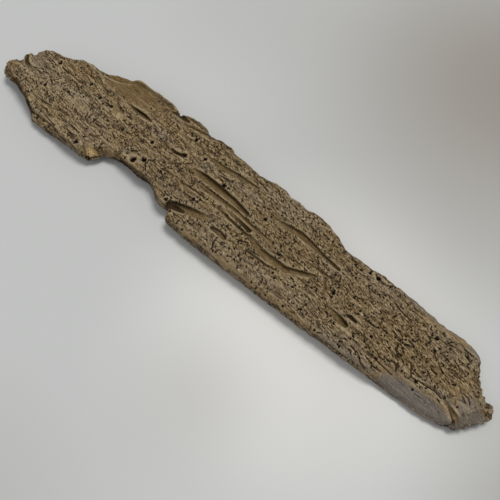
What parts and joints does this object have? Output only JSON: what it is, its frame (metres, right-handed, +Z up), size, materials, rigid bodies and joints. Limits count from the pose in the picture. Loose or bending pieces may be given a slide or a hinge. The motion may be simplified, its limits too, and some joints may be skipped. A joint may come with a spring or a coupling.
{
  "type": "driftwood piece",
  "caption": "Flat weathered driftwood plank with a worn outline, worm grooves, bore holes and a scooped far edge, lying on its underside.",
  "frame": {"origin": "middle of the plank's plan box, at the level of the surface it lies on", "axes": "+X along the grain towards the end with the broken tip, +Y across the plank towards the edge with the scoop and lip, +Z up from the surface"},
  "size_m": [0.6154, 0.1138, 0.0239],
  "materials": {
    "weathered_wood": "matt sea-worn wood, grey-tan on top, brown in the grooves and holes"
  },
  "bodies": {
    "root": {"driftwood": "weathered_wood"}
  },
  "joints": []
}
